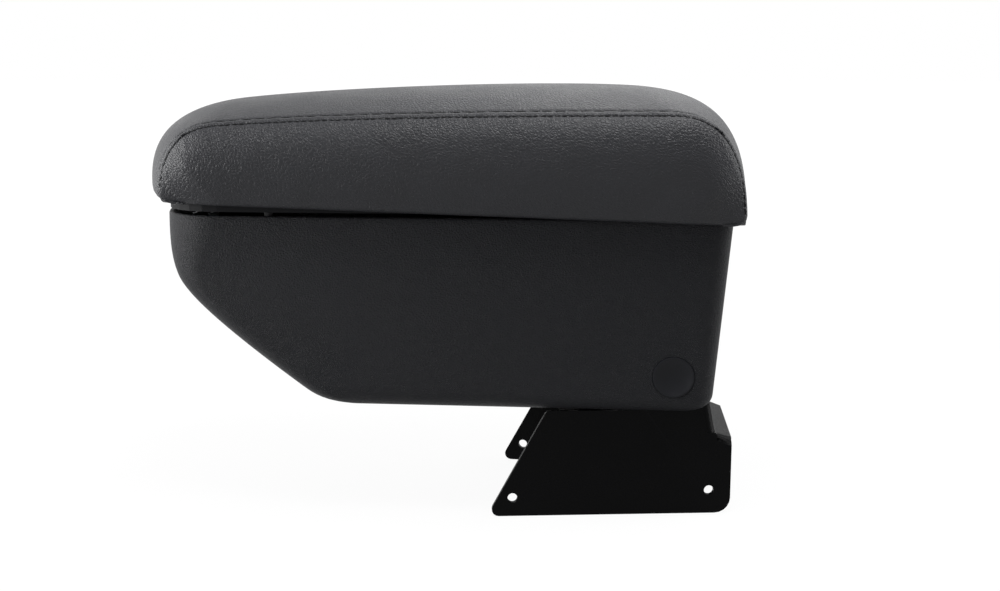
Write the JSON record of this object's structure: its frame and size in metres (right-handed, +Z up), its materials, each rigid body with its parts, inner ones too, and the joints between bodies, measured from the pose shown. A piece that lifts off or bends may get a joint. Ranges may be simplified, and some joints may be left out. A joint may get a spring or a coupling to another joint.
{
  "type": "car centre armrest",
  "caption": "Padded centre armrest for a car: a hinged leatherette lid over a storage box that tilts up on a folded steel bracket.",
  "frame": {"origin": "on the surface that the bracket's lower edges stand on, at the middle of the whole part's length and width", "axes": "+X to the hinge end, +Y to the right side, +Z up"},
  "size_m": [0.3072, 0.1292, 0.217],
  "materials": {
    "powder_coat": "pebbled black powder coat",
    "black_rubber": "matt moulded rubber",
    "zinc_steel": "zinc plated",
    "spring_steel": "plain spring steel",
    "grained_plastic": "fine moulded leather grain",
    "inner_plastic": "fine satin grain",
    "black_steel": "black plated",
    "mat_rubber": "ribbed matt rubber",
    "bush_plastic": "natural moulded nylon",
    "cap_plastic": "smooth satin",
    "panel_plastic": "satin grain",
    "fibre_board": "pressed fibre board",
    "foam": "moulded polyurethane foam",
    "leatherette_top": "soft grained leatherette with a satin sheen",
    "leatherette_side": "soft grained leatherette with a satin sheen"
  },
  "bodies": {
    "bracket": {"bracket": "powder_coat", "rest_buffers": "black_rubber", "pivot_nuts": "zinc_steel", "pivot_bolt_left": "zinc_steel", "pivot_bolt_right": "zinc_steel", "friction_washers": "spring_steel"},
    "box": {"storage_box": "grained_plastic", "mechanism_cover": "inner_plastic", "cover_screws": "black_steel", "box_mat": "mat_rubber", "pivot_bush_left": "bush_plastic", "pivot_bush_right": "bush_plastic", "pivot_cap_left": "cap_plastic", "pivot_cap_right": "cap_plastic", "catch_clip": "spring_steel", "catch_screw": "black_steel", "hinge_pin": "zinc_steel"},
    "lid": {"lid_panel": "panel_plastic", "lid_bumpers": "black_rubber", "lid_screws": "black_steel", "pad_board": "fibre_board", "pad_foam": "foam", "top_cover": "leatherette_top", "side_cover_left": "leatherette_side", "side_cover_right": "leatherette_side"}
  },
  "joints": [
    {"name": "box_tilt", "type": "hinge", "parent": "bracket", "child": "box", "pos_m": [0.1165, 0, 0.0757], "axis": [0, 1, 0], "range_deg": [0, 90]},
    {"name": "lid_hinge", "type": "hinge", "parent": "box", "child": "lid", "pos_m": [0.1468, 0, 0.1555], "axis": [0, 1, 0], "range_deg": [0, 65]}
  ]
}
